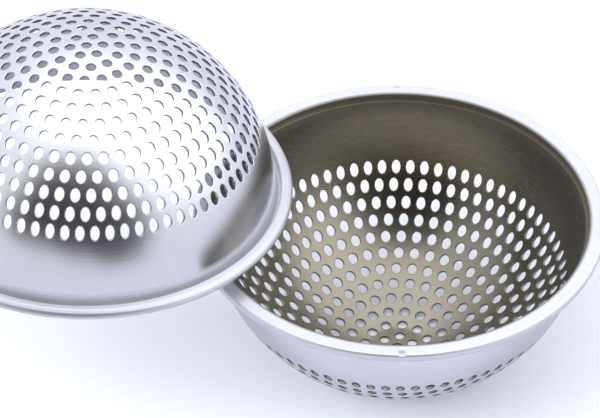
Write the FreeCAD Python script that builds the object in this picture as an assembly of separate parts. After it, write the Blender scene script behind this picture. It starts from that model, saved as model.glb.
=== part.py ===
import FreeCAD, Part
import math
import os

# Tea infuser ball: two perforated steel half-balls that press together, and a chain with a hook.
# Frame: origin at the centre of the bowl's foot, +Z up, +X from the cap towards the bowl.

# Ball
BALL_R = 25.0
SHEET = 0.4
MOUTH_SHORT = 1.3
FOOT_FLAT = 0.3

# Rolled bead round each mouth
RIM_R = 27.0
BEAD_H = 1.4
CURL_END_R = 25.45
WALL_R = 24.9
REBATE_DEPTH = 0.9
MOUTH_ROUND = 0.2

# Cap spigot that presses into the bowl's rebate
CLEAR = 0.05
SPIGOT_R = WALL_R - CLEAR
SPIGOT_LEN = 0.5
SPIGOT_LEAD = 0.12

# Index notches in the bowl's bead, front and back
NOTCH_W = 0.8
NOTCH_DEPTH = 0.35

# Perforation: a centre hole and rings of 6, 12, 18 ... holes, spread and stretched as the sheet is drawn
RINGS = 12
RING_STEP = 4.92
RING_STRETCH = 0.0019
OPEN_RATIO = 0.62
HOLE_STRETCH = 0.2
CAP_TURN = 9.4
BOWL_TURN = 40.0

# Where the lifted-off cap lies: its right edge rests on the bowl's rim and it leans towards the back
CAP_X = -40.91
CAP_Y = 3.06
CAP_LEAN = 3.03
CAP_LEAN_TURN = 65.6

# Wire parts
WIRE_R = 0.5
BAIL_REACH = 4.4
BAIL_HALF = 2.0
RING_R = 3.3
LINKS = 16
HUNG_LINKS = 5
LINK_HALF = 1.9
LINK_LEN = 6.9
YAW_STEP = 14.0
HOOK_WIRE_R = 0.7
HOOK_EYE_R = 2.4
HOOK_SHANK = 14.0
HOOK_BEND_R = 4.0
HOOK_RETURN = 8.0

V = FreeCAD.Vector
ORIGIN = V(0, 0, 0)
Z_AXIS = V(0, 0, 1)

OUT_Z = BALL_R - FOOT_FLAT
RIM_Z = OUT_Z - MOUTH_SHORT
LEAN_RAD = math.radians(CAP_LEAN)
LEAN_TURN_RAD = math.radians(CAP_LEAN_TURN)
CAP_Z = RIM_Z + CLEAR + 0.02 + SPIGOT_LEN * math.cos(LEAN_RAD) + SPIGOT_R * math.sin(LEAN_RAD)
INNER_R = BALL_R - SHEET
CURL_R = BEAD_H / 2
CURL_X = RIM_R - CURL_R
PITCH_GAP = 2 * WIRE_R + CLEAR
CAP_CENTRE = V(CAP_X, CAP_Y, CAP_Z)
LEAN_AXIS = V(-math.sin(LEAN_TURN_RAD), math.cos(LEAN_TURN_RAD), 0)


def at_height(radius, z):
    """Radius of the ball's surface at height z over the mouth plane."""
    return math.sqrt(radius ** 2 - (z + MOUTH_SHORT) ** 2)


def lines(points):
    """Straight edges through (radius, height) points of a section."""
    return [Part.makeLine(V(a[0], 0, a[1]), V(b[0], 0, b[1])) for a, b in zip(points, points[1:])]


def arc(start, middle, end):
    """Arc of a section through three (radius, height) points."""
    return Part.Arc(*[V(p[0], 0, p[1]) for p in (start, middle, end)]).toShape()


def ball_arc(radius, start_z, end_r):
    """Arc of the ball's section from height start_z up to the radius end_r near the pole."""
    start = (at_height(radius, start_z), start_z)
    low = math.atan2(start_z + MOUTH_SHORT, start[0])
    high = math.acos(end_r / radius)
    mid = (low + high) / 2
    end = (end_r, radius * math.sin(high) - MOUTH_SHORT)
    return arc(start, (radius * math.cos(mid), radius * math.sin(mid) - MOUTH_SHORT), end), start, end


def curl(inner_start):
    """Section of the rolled bead, from the top of the flange round to the mouth plane."""
    top = SHEET
    under = BEAD_H - SHEET
    edges = lines([inner_start, (CURL_X, top)])
    edges.append(arc((CURL_X, top), (CURL_X + CURL_R - SHEET, CURL_R), (CURL_X, under)))
    edges += lines([(CURL_X, under), (CURL_END_R, under), (CURL_END_R, BEAD_H), (CURL_X, BEAD_H)])
    edges.append(arc((CURL_X, BEAD_H), (RIM_R, CURL_R), (CURL_X, 0)))
    return edges


def revolve(edges):
    """Solid of the closed section turned about the ball's axis."""
    return Part.Face(Part.Wire(Part.__sortEdges__(edges))).revolve(ORIGIN, Z_AXIS, 360)


def cap_blank():
    """Plain cap, mouth down at z = 0, with its spigot below the mouth plane."""
    outer, outer_low, outer_top = ball_arc(BALL_R, SHEET, 0)
    inner, inner_low, inner_top = ball_arc(INNER_R, SHEET, 0)
    spigot_in = SPIGOT_R - SHEET
    edges = [outer, inner] + curl(outer_low)
    edges += lines([(CURL_X, 0), (SPIGOT_R, 0), (SPIGOT_R, SPIGOT_LEAD - SPIGOT_LEN)])
    edges += lines([(SPIGOT_R, SPIGOT_LEAD - SPIGOT_LEN), (SPIGOT_R - SPIGOT_LEAD, -SPIGOT_LEN)])
    edges += lines([(SPIGOT_R - SPIGOT_LEAD, -SPIGOT_LEN), (spigot_in, -SPIGOT_LEN)])
    edges += lines([(spigot_in, -SPIGOT_LEN), (spigot_in, 0), inner_low])
    edges += lines([inner_top, outer_top])
    return revolve(edges)


def bowl_blank():
    """Plain bowl drawn mouth down at z = 0, with the rebate for the spigot and the flat foot."""
    flat_out = math.sqrt(BALL_R ** 2 - OUT_Z ** 2)
    flat_in = math.sqrt(INNER_R ** 2 - (OUT_Z - SHEET) ** 2)
    shoulder = REBATE_DEPTH + SHEET
    outer, outer_low, outer_top = ball_arc(BALL_R, shoulder, flat_out)
    inner, inner_low, inner_top = ball_arc(INNER_R, REBATE_DEPTH, flat_in)
    wall_out = WALL_R + SHEET
    edges = [outer, inner]
    edges += lines([outer_low, (wall_out, REBATE_DEPTH), (wall_out, SHEET)])
    edges += curl((wall_out, SHEET))
    corner = MOUTH_ROUND * (1 - math.sqrt(0.5))
    edges += lines([(CURL_X, 0), (WALL_R + MOUTH_ROUND, 0)])
    edges.append(arc((WALL_R + MOUTH_ROUND, 0), (WALL_R + corner, corner), (WALL_R, MOUTH_ROUND)))
    edges += lines([(WALL_R, MOUTH_ROUND), (WALL_R, REBATE_DEPTH), inner_low])
    edges += lines([inner_top, (0, inner_top[1]), (0, outer_top[1]), outer_top])
    return revolve(edges)


def hole_cutter(half_long, half_wide, polar, turn):
    """Elliptical punch along the ball's radius, its long axis along the meridian."""
    punch = Part.Ellipse(V(0, 0, INNER_R - 1), half_long, half_wide).toShape()
    punch = Part.Face(Part.Wire([punch])).extrude(V(0, 0, SHEET + 2))
    punch.rotate(ORIGIN, V(0, 1, 0), polar)
    punch.rotate(ORIGIN, Z_AXIS, turn)
    punch.translate(V(0, 0, -MOUTH_SHORT))
    return punch


def hole_cutters(turn):
    """Punches for every hole, the whole pattern turned by turn degrees about the ball's axis."""
    start = OPEN_RATIO * BALL_R * math.radians(RING_STEP) / 2
    centre = Part.makeCylinder(start, SHEET + 2, V(0, 0, INNER_R - 1 - MOUTH_SHORT))
    cutters = [centre]
    for ring in range(1, RINGS + 1):
        polar = RING_STEP * ring + RING_STRETCH * ring ** 3
        slope = math.radians(RING_STEP + 3 * RING_STRETCH * ring ** 2)
        drawn = 1 + HOLE_STRETCH * (ring / RINGS) ** 2
        half_long = OPEN_RATIO * drawn * BALL_R * slope / 2
        half_wide = OPEN_RATIO * BALL_R * math.sin(math.radians(polar)) / ring / 2
        count = 6 * ring
        for i in range(count):
            cutters.append(hole_cutter(half_long, half_wide, polar, turn + 360.0 * i / count))
    return cutters


def make_halves():
    """The bowl standing on its foot and the cap in its own frame."""
    cap = cap_blank().cut(hole_cutters(CAP_TURN))
    bowl = bowl_blank().cut(hole_cutters(BOWL_TURN))
    for side in (-1, 1):
        notch = Part.makeBox(NOTCH_W, 2, NOTCH_DEPTH, V(-NOTCH_W / 2, side * RIM_R - 1, 0))
        bowl = bowl.cut(notch)
    bowl.rotate(ORIGIN, V(1, 0, 0), 180)
    bowl.translate(V(0, 0, RIM_Z))
    return solid(bowl), solid(cap)


def solid(shape):
    """The one solid in a boolean's result."""
    found = shape.Solids
    if len(found) != 1:
        raise ValueError("expected one solid, found %d" % len(found))
    return found[0]


def place(shape, origin, x_dir, y_dir, z_dir):
    """Move a shape drawn at the origin into the frame origin, x_dir, y_dir, z_dir."""
    rows = []
    for name in ("x", "y", "z"):
        rows += [getattr(x_dir, name), getattr(y_dir, name), getattr(z_dir, name), getattr(origin, name)]
    shape.Placement = FreeCAD.Placement(FreeCAD.Matrix(*rows, 0, 0, 0, 1))
    return shape


def make_link():
    """Racetrack link in the XY plane, its near end's wire centre at the origin, running along +X."""
    near = V(LINK_HALF, 0, 0)
    far = V(LINK_LEN - LINK_HALF, 0, 0)
    span = LINK_LEN - 2 * LINK_HALF
    ends = [
        Part.makeTorus(LINK_HALF, WIRE_R, ORIGIN, Z_AXIS, 0, 360, 180),
        Part.makeTorus(LINK_HALF, WIRE_R, ORIGIN, Z_AXIS, 0, 360, 180),
    ]
    ends[0].rotate(ORIGIN, Z_AXIS, 90)
    ends[0].translate(near)
    ends[1].rotate(ORIGIN, Z_AXIS, -90)
    ends[1].translate(far)
    legs = []
    for side in (-1, 1):
        legs.append(Part.makeCylinder(WIRE_R, span, V(LINK_HALF, side * LINK_HALF, 0), V(1, 0, 0)))
    return solid(ends[0].fuse([ends[1]] + legs).removeSplitter())


def lean(shape):
    """Move a shape from the cap's own frame, mouth plane at z = 0, to where the cap lies."""
    shape.rotate(ORIGIN, LEAN_AXIS, CAP_LEAN)
    shape.translate(CAP_CENTRE)
    return shape


def make_bail():
    """Wire staple welded to the cap's bead, in the cap's own frame, standing out along -X."""
    centre_x = BAIL_HALF - RIM_R - BAIL_REACH
    bend = Part.makeTorus(BAIL_HALF, WIRE_R, ORIGIN, Z_AXIS, 0, 360, 180)
    bend.rotate(ORIGIN, Z_AXIS, 90)
    bend.translate(V(centre_x, 0, CURL_R))
    leg_len = CURL_R - RIM_R - centre_x
    legs = []
    for side in (-1, 1):
        start = V(centre_x, side * BAIL_HALF, CURL_R)
        legs.append(Part.makeCylinder(WIRE_R, leg_len, start, V(1, 0, 0)))
    room = Part.makeCylinder(RIM_R, 4, V(0, 0, -1))
    return solid(bend.fuse(legs).removeSplitter().cut(room))


def make_jump_ring():
    """Round ring hanging from the bail in the XZ plane, and the lowest point of its wire's centre line."""
    bar = V(-RIM_R - BAIL_REACH, 0, CURL_R)
    bar = FreeCAD.Rotation(LEAN_AXIS, CAP_LEAN).multVec(bar) + CAP_CENTRE
    centre = bar - V(0, 0, RING_R - PITCH_GAP)
    ring = Part.makeTorus(RING_R, WIRE_R, centre, V(0, 1, 0))
    return solid(ring), centre - V(0, 0, RING_R)


def turned(vector, axis, degrees):
    """The vector turned about an axis through the origin."""
    return FreeCAD.Rotation(axis, degrees).multVec(vector)


def lay_chain(start, bend):
    """Each link's near wire centre, direction and side, hung in a curve and then laid along the table."""
    side = V(0, 1, 0)
    along = turned(V(-1, 0, 0), side, -HUNG_LINKS * bend)
    before = V(0, 0, -1)
    far = start
    frames = []
    for i in range(LINKS):
        flat = i % 2 == 0
        pitched = i <= HUNG_LINKS
        if i > 0:
            before = along
            axis = side if pitched else Z_AXIS
            along = turned(along, axis, bend if pitched else YAW_STEP)
            side = side if pitched else turned(side, Z_AXIS, YAW_STEP)
        near = far - (before if flat == pitched else along) * PITCH_GAP
        frames.append((near, along, side))
        far = near + along * LINK_LEN
    return frames, far


def solve_bend(start):
    """Bend per hung link that brings the chain down to lie on the table."""
    low = 5.0
    high = 18.0
    for _ in range(40):
        mid = (low + high) / 2
        frames, end = lay_chain(start, mid)
        if end.z > LINK_HALF + WIRE_R:
            low = mid
        else:
            high = mid
    return low


def make_hook(far, along, side):
    """Wire hook lying on the table, its eye round the last link's upright end."""
    reach = WIRE_R + HOOK_WIRE_R + CLEAR
    near = far - along * reach
    length = HOOK_SHANK + 2 * HOOK_EYE_R + HOOK_BEND_R
    dip = math.degrees(math.asin((near.z - HOOK_WIRE_R) / length))
    eye = Part.makeTorus(HOOK_EYE_R, HOOK_WIRE_R, V(HOOK_EYE_R, 0, 0), Z_AXIS)
    shank_x = 2 * HOOK_EYE_R
    bend_x = shank_x + HOOK_SHANK
    bend_y = -HOOK_BEND_R
    shank = Part.makeLine(V(shank_x, 0, 0), V(bend_x, 0, 0))
    bend = Part.Arc(V(bend_x, 0, 0), V(bend_x + HOOK_BEND_R, bend_y, 0), V(bend_x, 2 * bend_y, 0)).toShape()
    back = V(bend_x - HOOK_RETURN, 2 * bend_y, 0)
    back_leg = Part.makeLine(V(bend_x, 2 * bend_y, 0), back)
    path = Part.Wire([shank, bend, back_leg])
    section = Part.Wire([Part.makeCircle(HOOK_WIRE_R, V(shank_x, 0, 0), V(1, 0, 0))])
    wire = path.makePipeShell([section], True, True)
    tip = Part.makeSphere(HOOK_WIRE_R, back)
    hook = solid(eye.fuse([wire, tip]))
    down = turned(along, side, dip)
    return place(hook, near, down, side, down.cross(side))


bowl, cap = make_halves()
cap = lean(cap)
bail = lean(make_bail())
jump_ring, ring_foot = make_jump_ring()
bend = solve_bend(ring_foot)
frames, chain_end = lay_chain(ring_foot, bend)
shapes = {"bowl": bowl, "cap": cap, "bail": bail, "jump_ring": jump_ring}
for i, (near, along, side) in enumerate(frames):
    upright = i % 2 == 1
    across = along.cross(side) if upright else side
    shapes["link_%02d" % (i + 1)] = place(make_link(), near, along, across, along.cross(across))
shapes["hook"] = make_hook(chain_end, frames[-1][1], frames[-1][2])

os.makedirs("parts", exist_ok=True)
for name, shape in shapes.items():
    shape.exportStep("parts/%s.step" % name)
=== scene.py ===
import math

import bpy
import numpy as np
from mathutils import Matrix, Quaternion, Vector
from mathutils.geometry import delaunay_2d_cdt


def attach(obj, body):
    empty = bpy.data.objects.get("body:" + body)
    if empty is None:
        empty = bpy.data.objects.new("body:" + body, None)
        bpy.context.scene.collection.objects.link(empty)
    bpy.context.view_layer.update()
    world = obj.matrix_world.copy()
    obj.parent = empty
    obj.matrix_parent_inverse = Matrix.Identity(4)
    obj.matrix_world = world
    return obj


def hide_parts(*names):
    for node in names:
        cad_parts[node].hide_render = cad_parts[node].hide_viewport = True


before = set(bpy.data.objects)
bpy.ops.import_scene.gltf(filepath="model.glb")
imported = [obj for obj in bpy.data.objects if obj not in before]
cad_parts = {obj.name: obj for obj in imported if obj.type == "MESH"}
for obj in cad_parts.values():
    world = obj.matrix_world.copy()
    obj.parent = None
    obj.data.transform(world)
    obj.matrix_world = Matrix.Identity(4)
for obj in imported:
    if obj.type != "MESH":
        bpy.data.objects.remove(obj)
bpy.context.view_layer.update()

# ---------------------------------------------------------------- dimensions, millimetres
MM = 0.001

# Drawn half-balls; each mouth plane lies short of the ball's middle and the bowl has a flat foot
BALL_R = 25.0
SHEET = 0.4
INNER_R = BALL_R - SHEET
MOUTH_SHORT = 1.3
FOOT_PLANE = 24.7
FOOT_BLEND = 0.024  # radians

# Rolled bead, the rebate in the bowl's mouth, the cap's spigot and the bowl's two notches
RIM_R = 27.0
BEAD_H = 1.4
CURL_R = BEAD_H / 2
CURL_X = RIM_R - CURL_R
CURL_END_R = 25.45
CURL_END = 0.3
CURL_GAP = 0.06
WALL_R = 24.9
REBATE_DEPTH = 0.9
SPIGOT_R = 24.85
SPIGOT_LEN = 0.5
NOTCH_W = 0.8
NOTCH_DEPTH = 0.33
NOTCH_FROM_R = 26.0

# Perforation: on the flat blank the rings of holes are 1 apart and a hole is HOLE in radius
RINGS = 12
RING_STEP = 4.92
RING_STRETCH = 0.0019
HOLE = 0.31
HOLE_STRETCH = 0.2
LIP = 0.045
LIP_DROP = 0.11
EDGE = 12.5
HOLE_SEGS = 24
RIM_SEGS = 288
CAP_TURN = 9.4
BOWL_TURN = 40.0

# Bail, jump ring, chain and hook
CLEAR = 0.05
WIRE_R = 0.5
BAIL_REACH = 4.4
BAIL_HALF = 2.0
RING_R = 3.3
LINKS = 16
HUNG_LINKS = 5
LINK_HALF = 1.9
LINK_LEN = 6.9
YAW_STEP = 14.0
PITCH_GAP = 2 * WIRE_R + CLEAR
HOOK_WIRE_R = 0.7
HOOK_EYE_R = 2.4
HOOK_SHANK = 14.0
HOOK_BEND_R = 4.0
HOOK_RETURN = 8.0

# Where the lifted-off cap lies: its spigot touches the bowl's bead and it leans towards the back
TOUCH_GAP = 0.07
CAP_X = -40.91
CAP_Y = 3.06
CAP_LEAN = math.radians(3.03)
CAP_LEAN_TURN = math.radians(65.6)
RIM_Z = FOOT_PLANE - MOUTH_SHORT
CAP_Z = RIM_Z + TOUCH_GAP + SPIGOT_LEN * math.cos(CAP_LEAN) + SPIGOT_R * math.sin(CAP_LEAN)


# ---------------------------------------------------------------- perforated half-ball
def polar_angle(rho):
    """Angle from the ball's pole for a distance from the middle of the blank."""
    return np.radians(RING_STEP * rho + RING_STRETCH * rho ** 3)


def turn_angles():
    """Angles round the mouth, closer together beside the two notches."""
    base = np.arange(RIM_SEGS) * (2 * math.pi / RIM_SEGS)
    half = NOTCH_W / 2 / RIM_R
    extra = []
    for side in (math.pi / 2, 3 * math.pi / 2):
        base = base[np.abs(base - side) > half * 2.2]
        extra += [side + half * k for k in (-1.8, -1.35, -1.1, -0.9, -0.6, 0.0, 0.6, 0.9, 1.1, 1.35, 1.8)]
    return np.sort(np.concatenate([base, extra]))


TURNS = turn_angles()


def hole_loops(centres, radius):
    """Outlines of every hole on the blank, drawn longer along the meridian towards the mouth."""
    psi = np.arange(HOLE_SEGS) * (2 * math.pi / HOLE_SEGS)
    rho = np.hypot(centres[:, 0], centres[:, 1])
    turn = np.arctan2(centres[:, 1], centres[:, 0])
    along = np.stack([np.cos(turn), np.sin(turn)], 1)
    across = np.stack([-np.sin(turn), np.cos(turn)], 1)
    drawn = 1 + HOLE_STRETCH * (rho / RINGS) ** 2
    loops = (radius * drawn)[:, None, None] * np.cos(psi)[None, :, None] * along[:, None, :]
    loops = loops + radius * np.sin(psi)[None, :, None] * across[:, None, :]
    return centres[:, None, :] + loops


def blank_net(turn):
    """The flat pierced blank, its pattern turned by turn degrees: (points, triangles, hole centres)."""
    centres = [(0.0, 0.0)]
    for ring in range(1, RINGS + 1):
        for i in range(6 * ring):
            a = 2 * math.pi * i / (6 * ring) + math.radians(turn)
            centres.append((ring * math.cos(a), ring * math.sin(a)))
    centres = np.array(centres)
    loops = hole_loops(centres, HOLE + LIP)
    rim = EDGE * np.stack([np.cos(TURNS), np.sin(TURNS)], 1)
    points = np.concatenate([rim, loops.reshape(-1, 2)])
    n = len(TURNS)
    edges = [(i, (i + 1) % n) for i in range(n)]
    for h in range(len(centres)):
        start = n + h * HOLE_SEGS
        edges += [(start + k, start + (k + 1) % HOLE_SEGS) for k in range(HOLE_SEGS)]
    _, _, tris, source, _, _ = delaunay_2d_cdt([Vector(p) for p in points], edges, [], 1, 1e-7)
    back = np.array([s[0] for s in source])
    tris = back[np.array(tris)]
    owner = np.where(tris < n, -1, (tris - n) // HOLE_SEGS)
    in_hole = (owner[:, 0] >= 0) & (owner[:, 0] == owner[:, 1]) & (owner[:, 1] == owner[:, 2])
    return points, tris[~in_hole], centres


def on_ball(xy, depth, flat):
    """Point and outward normal on the ball for a point of the blank, depth mm under the outer face."""
    rho = np.hypot(xy[:, 0], xy[:, 1])
    turn = np.arctan2(xy[:, 1], xy[:, 0])
    theta = polar_angle(rho)
    out = np.stack([np.sin(theta) * np.cos(turn), np.sin(theta) * np.sin(turn), np.cos(theta)], 1)
    radius = np.full(len(xy), BALL_R)
    normal = out.copy()
    if flat:
        radius = np.minimum(radius, FOOT_PLANE / np.cos(np.minimum(theta, 0.5)))
        edge = math.acos(FOOT_PLANE / BALL_R)
        w = np.clip((theta - edge) / FOOT_BLEND + 0.5, 0, 1)[:, None]
        normal = normal * w + np.array([0, 0, 1.0]) * (1 - w)
        normal /= np.linalg.norm(normal, axis=1)[:, None]
    point = out * radius[:, None] - normal * np.reshape(depth, (-1, 1))
    point[:, 2] -= MOUTH_SHORT
    return point, normal


def fillet(points):
    """Section through (r, z, corner radius) points, corners rounded: points and their left-hand normals."""
    pts = [np.array(p[:2], float) for p in points]
    out, normals = [], []

    def left(d):
        """The direction a quarter turn to the left of d."""
        return np.array([-d[1], d[0]])

    for i, p in enumerate(pts):
        r = points[i][2]
        before = None if i == 0 else (p - pts[i - 1]) / np.linalg.norm(p - pts[i - 1])
        after = None if i == len(pts) - 1 else (pts[i + 1] - p) / np.linalg.norm(pts[i + 1] - p)
        if before is None or after is None:
            out.append(p)
            normals.append(left(after if before is None else before))
            continue
        turn = math.atan2(before[0] * after[1] - before[1] * after[0], float(before @ after))
        if abs(turn) < 1e-3 or r <= 0:
            d = before + after
            out.append(p)
            normals.append(left(d / np.linalg.norm(d)))
            continue
        reach = r * math.tan(abs(turn) / 2)
        start = p - before * reach
        side = left(before) * math.copysign(1, turn)
        centre = start + side * r
        steps = max(2, int(abs(turn) / math.radians(18)) + 1)
        for k in range(steps + 1):
            a = turn * k / steps
            c, s = math.cos(a), math.sin(a)
            arm = start - centre
            out.append(centre + np.array([arm[0] * c - arm[1] * s, arm[0] * s + arm[1] * c]))
            normals.append(left(np.array([before[0] * c - before[1] * s, before[0] * s + before[1] * c])))
    return np.array(out), np.array(normals)


def ball_arc(radius, start, end, steps):
    """Section points of the ball between two polar angles, as (r, z, 0)."""
    angles = np.linspace(start, end, steps)
    return [(radius * math.sin(a), radius * math.cos(a) - MOUTH_SHORT, 0.0) for a in angles]


def mouth_section(is_cap):
    """Section of the plain band, bead and mouth, from the outer face round to the inner face."""
    edge = float(polar_angle(np.array([EDGE]))[0])
    low = 0.55 if is_cap else BEAD_H + 0.1
    end = math.acos((low + MOUTH_SHORT) / BALL_R)
    path = ball_arc(BALL_R, edge, end, 10)
    if is_cap:
        path += [(24.95, SHEET, 0.12)]
    else:
        path += [
            (24.86, BEAD_H - 0.1, 0.25),
            (WALL_R + SHEET, REBATE_DEPTH, 0.2),
            (WALL_R + SHEET, SHEET, 0.15),
        ]
    inner_curl = CURL_R - SHEET
    path += [
        (CURL_X + inner_curl, SHEET, inner_curl - 0.01),
        (CURL_X + inner_curl, BEAD_H - SHEET, inner_curl - 0.01),
        (CURL_END_R + CURL_END, BEAD_H - SHEET, 0.06),
        (CURL_END_R + CURL_END, SHEET + CURL_GAP, 0.0),
        (CURL_END_R, SHEET + CURL_GAP, 0.08),
        (CURL_END_R, BEAD_H, 0.22),
    ]
    if is_cap:
        path += [
            (26.35, BEAD_H - 0.1, 0.8),
            (26.8, 0.98, 0.5),
            (RIM_R, 0.62, 0.3),
            (RIM_R, 0.0, 0.5),
            (SPIGOT_R, 0.0, 0.08),
            (SPIGOT_R, -SPIGOT_LEN, 0.14),
            (SPIGOT_R - SHEET, -SPIGOT_LEN, 0.14),
            (SPIGOT_R - SHEET, 0.05, 0.3),
        ]
        start = math.acos((0.6 + MOUTH_SHORT) / INNER_R)
    else:
        path += [
            (RIM_R, BEAD_H, CURL_R - 0.01),
            (RIM_R, 0.0, 0.4),
            (NOTCH_FROM_R + 0.02, 0.0, 0.0),
            (NOTCH_FROM_R - 0.02, 0.0, 0.0),
            (WALL_R, 0.0, 0.2),
            (WALL_R, REBATE_DEPTH, 0.06),
            (24.53, REBATE_DEPTH, 0.1),
        ]
        start = math.acos((REBATE_DEPTH + 0.3 + MOUTH_SHORT) / INNER_R)
    path += ball_arc(INNER_R, start, edge, 10)
    return fillet(path)


def half_ball(name, is_cap):
    """Mesh of one half, mouth plane at z = 0 and dome towards +z, in millimetres."""
    points_2d, net, centres = blank_net(CAP_TURN if is_cap else BOWL_TURN)
    n_rim = len(TURNS)
    verts, norms, faces = [], [], []
    count = 0

    def add(points, normals):
        """Append vertices with their normals and give the index of the first."""
        nonlocal count
        verts.append(points)
        norms.append(normals)
        count += len(points)
        return count - len(points)

    flat = not is_cap
    outer = add(*on_ball(points_2d, 0.0, flat))
    inner_points, inner_normals = on_ball(points_2d, SHEET, flat)
    inner = add(inner_points, -inner_normals)
    faces.append(net + outer)
    faces.append(net[:, ::-1] + inner)

    holes = len(centres)
    first = n_rim + np.arange(holes)[:, None] * HOLE_SEGS + np.arange(HOLE_SEGS)[None]
    steps = [(30, 0), (60, 0), (90, 0), (90, 1), (45, 1)]
    rows = [first + outer]
    for degrees, under in steps:
        a = math.radians(degrees)
        shrink = HOLE + LIP * (1 - math.sin(a))
        drop = LIP_DROP * (1 - math.cos(a)) * (0.6 if under else 1.0)
        depth = SHEET - drop if under else drop
        xy = hole_loops(centres, shrink).reshape(-1, 2)
        point, normal = on_ball(xy, depth, flat)
        middle, _ = on_ball(centres, depth, flat)
        inward = np.repeat(middle, HOLE_SEGS, 0) - point
        inward -= normal * np.sum(inward * normal, 1)[:, None]
        inward /= np.linalg.norm(inward, axis=1)[:, None]
        sign = -1.0 if under else 1.0
        start = add(point, normal * math.cos(a) * sign + inward * math.sin(a))
        rows.append((start + np.arange(holes * HOLE_SEGS)).reshape(holes, HOLE_SEGS))
    rows.append(first + inner)
    quads = []
    for a, b in zip(rows, rows[1:]):
        quads.append(np.stack([a, np.roll(a, -1, 1), np.roll(b, -1, 1), b], -1).reshape(-1, 4))
    quads = np.concatenate(quads)

    section, section_normals = mouth_section(is_cap)
    cos, sin = np.cos(TURNS), np.sin(TURNS)
    strips = [np.arange(n_rim) + outer]
    for (r, z), (nr, nz) in list(zip(section, section_normals))[1:-1]:
        height = np.full(n_rim, z)
        if not is_cap and r > NOTCH_FROM_R and z < CURL_R:
            gap = np.abs(np.mod(TURNS, math.pi) - math.pi / 2) * RIM_R / (NOTCH_W / 2)
            height = np.maximum(z, NOTCH_DEPTH * np.clip((1.12 - gap) / 0.24, 0, 1))
        point = np.stack([r * cos, r * sin, height], 1)
        start = add(point, np.stack([nr * cos, nr * sin, np.full(n_rim, nz)], 1))
        strips.append(start + np.arange(n_rim))
    strips.append(np.arange(n_rim) + inner)
    bands = []
    for a, b in zip(strips, strips[1:]):
        bands.append(np.stack([a, b, np.roll(b, -1), np.roll(a, -1)], -1))
    bands = np.concatenate(bands)

    points = np.concatenate(verts)
    normals = np.concatenate(norms)
    tris = np.concatenate(faces)
    mesh = bpy.data.meshes.new(name)
    mesh.from_pydata((points * MM).tolist(), [], tris.tolist() + quads.tolist() + bands.tolist())
    mesh.validate(verbose=False)
    mesh.polygons.foreach_set("use_smooth", [True] * len(mesh.polygons))
    obj = bpy.data.objects.new(name, mesh)
    bpy.context.scene.collection.objects.link(obj)
    return obj, normals


def set_normals(obj, normals):
    """Shade the mesh with the exact normals of the surface."""
    normals = normals / np.linalg.norm(normals, axis=1)[:, None]
    obj.data.normals_split_custom_set_from_vertices(normals.tolist())


lean = Quaternion((-math.sin(CAP_LEAN_TURN), math.cos(CAP_LEAN_TURN), 0), CAP_LEAN)
cap, cap_normals = half_ball("cap_shell", True)
set_normals(cap, cap_normals)
cap.location = (CAP_X * MM, CAP_Y * MM, CAP_Z * MM)
cap.rotation_mode = "QUATERNION"
cap.rotation_quaternion = lean

bowl, bowl_normals = half_ball("bowl_shell", False)
flip = np.array([1.0, -1.0, -1.0])
for v in bowl.data.vertices:
    v.co = (v.co.x, -v.co.y, -v.co.z)
bowl.data.update()
set_normals(bowl, bowl_normals * flip)
bowl.location = (0, 0, RIM_Z * MM)

for piece, node in ((cap, "cap"), (bowl, "bowl")):
    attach(piece, node)
    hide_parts(node)


# ---------------------------------------------------------------- bail, ring, chain and hook
def tube(name, path, radii, closed):
    """Round wire along a path in millimetres; an open wire is closed by domes at both ends."""
    sides = 18
    path = [Vector(p) for p in path]
    radii = list(radii)
    count = len(path)
    tangents = []
    for i in range(count):
        before = path[i - 1] if closed or i else path[i]
        after = path[(i + 1) % count] if closed or i < count - 1 else path[i]
        tangents.append((after - before).normalized())
    if not closed:
        for end, at, away in ((0, path[0].copy(), -tangents[0]), (1, path[-1].copy(), tangents[-1].copy())):
            radius = radii[-1 if end else 0]
            for step in (0.35, 0.65, 0.86, 0.97):
                point = at + away * radius * step
                size = radius * math.sqrt(1 - step ** 2)
                where = len(path) if end else 0
                path.insert(where, point)
                radii.insert(where, size)
                tangents.insert(where, away if end else -away)
    side = tangents[0].orthogonal().normalized()
    verts, faces = [], []
    for point, tangent, radius in zip(path, tangents, radii):
        side = (side - tangent * side.dot(tangent)).normalized()
        other = tangent.cross(side)
        for k in range(sides):
            a = 2 * math.pi * k / sides
            verts.append((point + (side * math.cos(a) + other * math.sin(a)) * radius) * MM)
    rows = len(path)
    for i in range(rows if closed else rows - 1):
        a, b = i * sides, ((i + 1) % rows) * sides
        for k in range(sides):
            faces.append((a + k, a + (k + 1) % sides, b + (k + 1) % sides, b + k))
    if not closed:
        faces.append(tuple(reversed(range(sides))))
        faces.append(tuple((rows - 1) * sides + k for k in range(sides)))
    mesh = bpy.data.meshes.new(name)
    mesh.from_pydata([tuple(v) for v in verts], [], faces)
    mesh.polygons.foreach_set("use_smooth", [True] * len(mesh.polygons))
    obj = bpy.data.objects.new(name, mesh)
    bpy.context.scene.collection.objects.link(obj)
    return obj


def sweep(centre, radius, start, end, steps):
    """Points on an arc in the XY plane, angles in degrees."""
    angles = [math.radians(start + (end - start) * i / steps) for i in range(steps + 1)]
    return [Vector((centre[0] + radius * math.cos(a), centre[1] + radius * math.sin(a), 0)) for a in angles]


def line_points(start, end, steps):
    """Evenly spaced points from start to end."""
    start, end = Vector(start), Vector(end)
    return [start.lerp(end, i / steps) for i in range(steps + 1)]


def turned(vector, axis, degrees):
    """The vector turned about the axis."""
    return Quaternion(axis, math.radians(degrees)) @ vector


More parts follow.
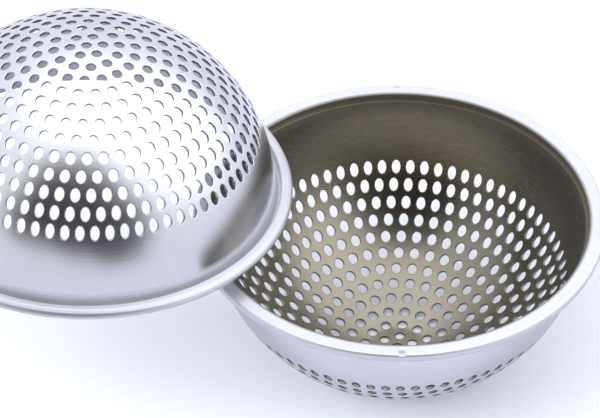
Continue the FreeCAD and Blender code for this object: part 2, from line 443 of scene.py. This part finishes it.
def lay_chain(start, bend):
    """Each link's near wire centre, direction and side, hung in a curve and then laid along the table."""
    side = Vector((0, 1, 0))
    along = turned(Vector((-1, 0, 0)), side, -HUNG_LINKS * bend)
    before = Vector((0, 0, -1))
    far = start
    frames = []
    for i in range(LINKS):
        pitched = i <= HUNG_LINKS
        if i > 0:
            before = along
            along = turned(along, side if pitched else Z_AXIS, bend if pitched else YAW_STEP)
            side = side if pitched else turned(side, Z_AXIS, YAW_STEP)
        near = far - (before if (i % 2 == 0) == pitched else along) * PITCH_GAP
        frames.append((near, along, side))
        far = near + along * LINK_LEN
    return frames, far


def solve_bend(start):
    """Bend per hung link that brings the chain down to lie on the table."""
    low, high = 5.0, 18.0
    for halving in range(40):
        mid = (low + high) / 2
        if lay_chain(start, mid)[1].z > LINK_HALF + WIRE_R:
            low = mid
        else:
            high = mid
    return low


def placed(obj, origin, x_dir, y_dir):
    """Put a piece drawn at the origin into the frame origin, x_dir, y_dir."""
    z_dir = x_dir.cross(y_dir)
    turn = Matrix((x_dir, y_dir, z_dir)).transposed().to_4x4()
    obj.matrix_world = Matrix.Translation(origin * MM) @ turn
    return obj


def link_wire(name, seed):
    """Racetrack link with its butt weld on one leg."""
    near, far = (LINK_HALF, 0), (LINK_LEN - LINK_HALF, 0)
    steps = 14
    path = sweep(near, LINK_HALF, 90, 270, steps)
    path += line_points((near[0], -LINK_HALF, 0), (far[0], -LINK_HALF, 0), steps + 8)[1:]
    path += sweep(far, LINK_HALF, -90, 90, steps)[1:]
    path += line_points((far[0], LINK_HALF, 0), (near[0], LINK_HALF, 0), 4)[1:-1]
    weld = Vector((LINK_LEN / 2 + 0.25 * math.sin(seed * 2.4), -LINK_HALF, 0))
    radii = [WIRE_R * (1 + 0.13 * math.exp(-((p - weld).length / 0.26) ** 2)) for p in path]
    return tube(name, path, radii, True)


def hook_wire(name):
    """The wire of a hook with a closed eye, welded where the eye meets the shank, and a balled tip."""
    steps = 24
    eye = sweep((HOOK_EYE_R, 0), HOOK_EYE_R, 0, 360, 2 * steps)[:-1]
    ring = tube(name + "_eye", eye, [HOOK_WIRE_R] * len(eye), True)
    x0 = 2 * HOOK_EYE_R
    x1 = x0 + HOOK_SHANK
    path = line_points((x0, 0, 0), (x1, 0, 0), 24)
    path += sweep((x1, -HOOK_BEND_R), HOOK_BEND_R, 90, -90, steps)[1:]
    path += line_points((x1, -2 * HOOK_BEND_R, 0), (x1 - HOOK_RETURN, -2 * HOOK_BEND_R, 0), 14)[1:]
    tip = path[-1]
    radii = []
    for p in path:
        weld = 0.45 * math.exp(-((p.x - x0) / 1.0) ** 2) if abs(p.y) < 0.01 else 0.0
        ball = 0.22 * math.exp(-((p - tip).length / 0.5) ** 2)
        radii.append(HOOK_WIRE_R * (1 + weld + ball))
    shank = tube(name, path, radii, False)
    return shank, ring


Z_AXIS = Vector((0, 0, 1))
cap_centre = Vector((CAP_X, CAP_Y, CAP_Z))
bar_x = -RIM_R - BAIL_REACH
path = line_points((0.1 - RIM_R, -BAIL_HALF, CURL_R), (bar_x + BAIL_HALF, -BAIL_HALF, CURL_R), 12)[:-1]
path += [p + Vector((0, 0, CURL_R)) for p in sweep((bar_x + BAIL_HALF, 0), BAIL_HALF, 270, 90, 24)]
path += line_points((bar_x + BAIL_HALF, BAIL_HALF, CURL_R), (0.1 - RIM_R, BAIL_HALF, CURL_R), 12)[1:]
radii = [WIRE_R * (1 + 0.5 * math.exp(-((p.x + RIM_R) / 0.45) ** 2)) for p in path]
bail = tube("bail_wire", path, radii, False)
bail.matrix_world = Matrix.Translation(cap_centre * MM) @ lean.to_matrix().to_4x4()
wires = [(bail, "bail", "cap", "wire_steel")]

bar = lean @ Vector((bar_x, 0, CURL_R)) + cap_centre
ring_centre = bar - Z_AXIS * (RING_R - PITCH_GAP)
path = sweep((0, 0), RING_R, 0, 360, 96)[:-1]
radii = [WIRE_R * (1 - 0.14 * math.exp(-((p - path[20]).length / 0.12) ** 2)) for p in path]
jump_ring = placed(tube("jump_ring_wire", path, radii, True), ring_centre, Vector((1, 0, 0)), Z_AXIS)
wires.append((jump_ring, "jump_ring", "jump_ring", "wire_steel"))

ring_foot = ring_centre - Z_AXIS * RING_R
frames, chain_end = lay_chain(ring_foot, solve_bend(ring_foot))
for i, (near, along, side) in enumerate(frames):
    node = "link_%02d" % (i + 1)
    across = along.cross(side) if i % 2 else side
    wires.append((placed(link_wire(node + "_wire", i), near, along, across), node, node, "chain_steel"))

near, along, side = frames[-1]
near = chain_end - along * (WIRE_R + HOOK_WIRE_R + CLEAR)
dip = math.degrees(math.asin((near.z - HOOK_WIRE_R) / (HOOK_SHANK + 2 * HOOK_EYE_R + HOOK_BEND_R)))
for piece in hook_wire("hook_wire"):
    wires.append((placed(piece, near, turned(along, side, dip), side), "hook", "hook", "hook_steel"))

for piece, node, body, finish in wires:
    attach(piece, body)
    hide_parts(node)


# ---------------------------------------------------------------- materials
class Nodes:
    """Small helper that adds and wires shader nodes."""

    def __init__(self, tree):
        self.tree = tree

    def add(self, kind, **settings):
        """A new node with its settings made."""
        node = self.tree.nodes.new(kind)
        for key, value in settings.items():
            setattr(node, key, value)
        return node

    def put(self, socket, value):
        """Link a socket to the input, or set the input to a value."""
        if isinstance(value, bpy.types.NodeSocket):
            self.tree.links.new(value, socket)
        else:
            socket.default_value = value

    def math(self, operation, a, b=0.0, c=0.0, clamp=False):
        """Arithmetic on numbers."""
        node = self.add("ShaderNodeMath", operation=operation, use_clamp=clamp)
        for socket, value in zip(node.inputs, (a, b, c)):
            self.put(socket, value)
        return node.outputs[0]

    def remap(self, value, low, high, to_low, to_high, smooth=False):
        """Map low to high onto to_low to to_high, held at both ends."""
        node = self.add("ShaderNodeMapRange", interpolation_type="SMOOTHSTEP" if smooth else "LINEAR")
        for socket, v in zip(node.inputs[:5], (value, low, high, to_low, to_high)):
            self.put(socket, v)
        return node.outputs[0]

    def split(self, vector):
        """The three components of a vector."""
        node = self.add("ShaderNodeSeparateXYZ")
        self.put(node.inputs[0], vector)
        return node.outputs

    def join(self, x, y, z):
        """A vector from three components."""
        node = self.add("ShaderNodeCombineXYZ")
        for socket, value in zip(node.inputs, (x, y, z)):
            self.put(socket, value)
        return node.outputs[0]

    def vector(self, operation, a, b=(0, 0, 0), scale=None):
        """Arithmetic on vectors."""
        node = self.add("ShaderNodeVectorMath", operation=operation)
        self.put(node.inputs[0], a)
        self.put(node.inputs[1], b)
        if scale is not None:
            self.put(node.inputs["Scale"], scale)
        return node.outputs["Value" if operation in ("LENGTH", "DOT_PRODUCT") else "Vector"]

    def noise(self, vector, scale, detail=3.0, roughness=0.5):
        """Soft random pattern between 0 and 1."""
        node = self.add("ShaderNodeTexNoise")
        self.put(node.inputs["Vector"], vector)
        node.inputs["Scale"].default_value = scale
        node.inputs["Detail"].default_value = detail
        node.inputs["Roughness"].default_value = roughness
        return node.outputs["Fac"]

    def mix(self, factor, a, b, mode="MIX"):
        """Blend two colours."""
        node = self.add("ShaderNodeMix", data_type="RGBA", blend_type=mode)
        self.put(node.inputs[0], factor)
        self.put(node.inputs[6], a)
        self.put(node.inputs[7], b)
        return node.outputs[2]

    def bump(self, height, distance, strength=1.0, normal=None):
        """Tilt the shading normal by a height pattern."""
        node = self.add("ShaderNodeBump")
        node.inputs["Strength"].default_value = strength
        node.inputs["Distance"].default_value = distance
        self.put(node.inputs["Height"], height)
        if normal is not None:
            self.put(node.inputs["Normal"], normal)
        return node.outputs[0]


def new_material(name):
    """A material with its node helper and its main shader."""
    mat = bpy.data.materials.new(name)
    mat.use_nodes = True
    return mat, Nodes(mat.node_tree), mat.node_tree.nodes["Principled BSDF"]


def spun_steel(name, tint, rough, pole, inner_shade, glow, bead_shade):
    """Drawn and polished sheet: fine rings, scratches and haze outside, painted shade on the inner faces.

    The glow stands in for the many further bounces of light inside the shell, the holes and the groove
    above the bead. The tint for the inner faces and the darkening of the bead are painted shade.
    """
    mat, n, shader = new_material(name)
    place = n.add("ShaderNodeTexCoord").outputs["Object"]
    centred = n.vector("ADD", place, (0, 0, pole * MOUTH_SHORT * MM))
    x, y, z = n.split(centred)
    flat = n.join(x, y, 0.0)
    across = n.vector("LENGTH", flat)
    polar = n.math("ARCTAN2", across, z)
    rx, ry = n.split(n.vector("NORMALIZE", flat))[:2]
    turned_place = n.join(rx, ry, polar)
    rings = n.noise(n.vector("MULTIPLY", turned_place, (0.9, 0.9, 38.0)), 1.0, 3.0, 0.62)
    fine = n.noise(n.vector("MULTIPLY", turned_place, (9.0, 9.0, 420.0)), 1.0, 2.0, 0.6)
    haze = n.noise(place, 90.0, 4.0, 0.6)
    cloud = n.noise(place, 28.0, 2.0, 0.5)
    grain = n.noise(place, 2600.0, 2.0, 0.7)
    scratch = n.add("ShaderNodeTexVoronoi", feature="DISTANCE_TO_EDGE")
    bent = n.vector("ADD", place, n.vector("SCALE", n.join(haze, cloud, haze), scale=0.012))
    n.put(scratch.inputs["Vector"], bent)
    scratch.inputs["Scale"].default_value = 260.0
    line = n.remap(scratch.outputs["Distance"], 0.0, 0.012, 1.0, 0.0)
    line = n.math("MULTIPLY", line, n.remap(haze, 0.52, 0.62, 0.0, 1.0))
    smear = n.math("ADD", n.math("MULTIPLY", rings, 0.07), n.math("MULTIPLY", haze, 0.12))
    smear = n.math("ADD", smear, n.math("MULTIPLY", fine, 0.05))
    outward = n.add("ShaderNodeTexCoord").outputs["Normal"]
    inside = n.vector("DOT_PRODUCT", centred, outward)
    inside = n.remap(inside, -0.0005, 0.0005, 1.0, 0.0)
    bead = n.remap(across, WALL_R * MM, (WALL_R + 0.5) * MM, 0.0, 1.0)
    inside = n.math("MULTIPLY", inside, n.math("SUBTRACT", 1.0, bead))
    height = n.math("MULTIPLY", n.split(place)[2], pole)
    unreached = n.remap(height, 0.0012, 0.0028, 0.26, 0.0)
    smear = n.math("ADD", smear, n.math("MAXIMUM", unreached, n.math("MULTIPLY", bead, 0.2)))
    smear = n.math("MULTIPLY_ADD", inside, 0.06, smear)
    n.put(shader.inputs["Roughness"], n.math("ADD", smear, rough - 0.12, clamp=True))
    tone = n.math("ADD", n.math("MULTIPLY", haze, 0.7), n.math("MULTIPLY", fine, 0.3))
    tone = n.remap(tone, 0.35, 0.65, 0.0, 1.0)
    colour = n.mix(tone, tuple(c * 0.9 for c in tint) + (1,), (*tint, 1))
    # Painted shade: faces turned away from the ball's centre, such as the hole walls, take half the tint.
    face = n.math("ABSOLUTE", n.vector("DOT_PRODUCT", n.vector("NORMALIZE", centred), outward))
    hole_wall_shade = n.math("MULTIPLY", n.remap(face, 0.4, 0.85, 1.0, 0.0), n.math("SUBTRACT", 1.0, bead))
    colour = n.mix(hole_wall_shade, colour, tuple(c * 0.5 for c in tint) + (1,))
    # Painted shade: the inner faces are multiplied by a darker tint, mottled by cloud.
    inner_shade_colour = n.mix(cloud, (*inner_shade, 1), tuple(c * 0.8 for c in inner_shade) + (1,))
    colour = n.mix(inside, colour, n.mix(1.0, colour, inner_shade_colour, "MULTIPLY"))
    # Painted shade: the bead is darkened against the rest of the sheet.
    colour = n.mix(n.math("MULTIPLY", bead, 1.0 - bead_shade), colour, (0, 0, 0, 1))
    # Painted light and shade on later bounces: past the first bounce the colour is darkened by 0.4 and a
    # glow is added; reflected rays also see a painted glow on the groove above the bead.
    depth = n.add("ShaderNodeLightPath").outputs["Ray Depth"]
    deep = n.math("GREATER_THAN", depth, 1.5)
    n.put(shader.inputs["Base Color"], n.mix(n.math("MULTIPLY", deep, 0.4), colour, (0, 0, 0, 1)))
    n.put(shader.inputs["Emission Color"], colour)
    groove = n.remap(height, 0.002, 0.0035, 0.45, 0.0)
    groove = n.math("MULTIPLY", groove, n.math("GREATER_THAN", depth, 0.5))
    n.put(shader.inputs["Emission Strength"], n.math("MAXIMUM", n.math("MULTIPLY", deep, glow), groove))
    shader.inputs["Metallic"].default_value = 1.0
    normal = n.bump(rings, 0.000006)
    normal = n.bump(fine, 0.000003, 1.0, normal)
    normal = n.bump(grain, 0.0000025, 1.0, normal)
    normal = n.bump(line, 0.000002, 1.0, normal)
    n.put(shader.inputs["Normal"], normal)
    return mat


def drawn_wire(name, tint, rough):
    """Drawn stainless wire: fine lengthwise lines and dull patches."""
    mat, n, shader = new_material(name)
    place = n.add("ShaderNodeTexCoord").outputs["Object"]
    haze = n.noise(place, 240.0, 3.0, 0.6)
    grain = n.noise(place, 4200.0, 2.0, 0.6)
    n.put(shader.inputs["Roughness"], n.remap(haze, 0.3, 0.7, rough - 0.06, rough + 0.1))
    dark = tuple(c * 0.82 for c in tint) + (1,)
    n.put(shader.inputs["Base Color"], n.mix(n.remap(haze, 0.4, 0.6, 0.0, 1.0), dark, (*tint, 1)))
    shader.inputs["Metallic"].default_value = 1.0
    normal = n.bump(haze, 0.00001)
    n.put(shader.inputs["Normal"], n.bump(grain, 0.000002, 1.0, normal))
    return mat


# The cap and the bowl are one steel; their different tints are painted light and shade, the bowl's lighter
# and the cap's darker, set to how bright each half looks.
cap_steel = spun_steel("cap_steel", (0.62, 0.63, 0.67), 0.24, 1, (0.90, 0.90, 0.91), 0.55, 0.93)
cap.data.materials.append(cap_steel)
bowl_steel = spun_steel("bowl_steel", (0.69, 0.70, 0.75), 0.22, -1, (0.42, 0.38, 0.28), 0.22, 0.92)
bowl.data.materials.append(bowl_steel)
finishes = {
    "wire_steel": drawn_wire("wire_steel", (0.66, 0.67, 0.70), 0.22),
    "chain_steel": drawn_wire("chain_steel", (0.62, 0.63, 0.66), 0.2),
    "hook_steel": drawn_wire("hook_steel", (0.64, 0.65, 0.68), 0.18),
}
for piece, node, body, finish in wires:
    piece.data.materials.append(finishes[finish])

# ---------------------------------------------------------------- stage, light and camera
FLOOR_HALF = 3.0
floor_mesh = bpy.data.meshes.new("floor")
corners = [(x * FLOOR_HALF, y * FLOOR_HALF, 0) for x, y in ((-1, -1), (1, -1), (1, 1), (-1, 1))]
floor_mesh.from_pydata(corners, [], [(0, 1, 2, 3)])
floor = bpy.data.objects.new("floor", floor_mesh)
bpy.context.scene.collection.objects.link(floor)
mat, n, shader = new_material("floor")
# Painted shade: the floor takes a darker, bluer colour where the steel reflects it.
mirrored = n.add("ShaderNodeLightPath").outputs["Is Glossy Ray"]
n.put(shader.inputs["Base Color"], n.mix(mirrored, (0.86, 0.875, 0.91, 1), (0.66, 0.652, 0.73, 1)))
shader.inputs["Roughness"].default_value = 0.7
shader.inputs["Specular IOR Level"].default_value = 0.2
floor_mesh.materials.append(mat)


def direction(turn, rise):
    """Unit vector, turn degrees from the front towards +X and rise degrees above the table."""
    t, r = math.radians(turn), math.radians(rise)
    return (math.sin(t) * math.cos(r), -math.cos(t) * math.cos(r), math.sin(r))


def spot(n, look, towards, inner, outer):
    """1 inside a cone of half-angle inner degrees about towards, fading to 0 at outer degrees."""
    facing = n.vector("DOT_PRODUCT", look, towards)
    outer, inner = math.cos(math.radians(outer)), math.cos(math.radians(inner))
    return n.remap(facing, outer, inner, 0.0, 1.0, smooth=True)


world = bpy.data.worlds.new("studio")
bpy.context.scene.world = world
world.use_nodes = True
n = Nodes(world.node_tree)
look = n.add("ShaderNodeTexCoord").outputs["Generated"]
wave = n.noise(look, 2.6, 2.0, 0.5)
shaken = n.vector("ADD", look, n.vector("SCALE", n.join(wave, wave, wave), scale=0.25))
shaken = n.vector("NORMALIZE", shaken)
rise = n.split(look)[2]
sky = n.remap(rise, 0.0, 0.8, 1.15, 1.42)
soft_box = spot(n, look, direction(150, 78), 24, 44)
soft_box = n.math("MAXIMUM", soft_box, spot(n, look, direction(100, 45), 20, 48))
sky = n.math("MULTIPLY_ADD", soft_box, 0.8, sky)
person = spot(n, shaken, direction(-2, 44), 22, 38)
person = n.math("MAXIMUM", person, spot(n, shaken, direction(30, 26), 10, 28))
person = n.math("MAXIMUM", person, spot(n, shaken, direction(-30, 36), 8, 26))
seen = n.mix(person, n.join(sky, sky, sky), n.mix(wave, (0.10, 0.075, 0.065, 1), (0.03, 0.03, 0.04, 1)))
diffuse = n.add("ShaderNodeLightPath").outputs["Is Diffuse Ray"]
side = n.math("MULTIPLY_ADD", spot(n, look, direction(-80, 33), 6, 34), 6.5, 0.85)
side = n.math("MULTIPLY_ADD", spot(n, look, direction(-15, 64), 10, 36), 1.6, side)
sky = n.mix(diffuse, seen, n.join(side, side, side))
background = world.node_tree.nodes["Background"]
n.put(background.inputs["Color"], n.mix(1.0, sky, (0.95, 0.965, 1.0, 1), "MULTIPLY"))

# The camera looks level along +Y and down by ELEVATION; VIEW_WIDTH is seen at the target's distance
ELEVATION = math.radians(41.06)
DISTANCE = 0.75
VIEW_WIDTH = 78.606 * MM
target = Vector((-12.968, 1.444, RIM_Z)) * MM
cam_data = bpy.data.cameras.new("camera")
cam_data.lens = DISTANCE / VIEW_WIDTH * cam_data.sensor_width
cam_data.clip_start = 0.01
cam_data.clip_end = 20
cam = bpy.data.objects.new("camera", cam_data)
view = Vector((0, math.cos(ELEVATION), -math.sin(ELEVATION)))
cam.location = target - view * DISTANCE
cam.rotation_mode = "QUATERNION"
cam.rotation_quaternion = view.to_track_quat("-Z", "Y")
bpy.context.scene.collection.objects.link(cam)
bpy.context.scene.camera = cam
bpy.context.scene.view_settings.view_transform = "Standard"
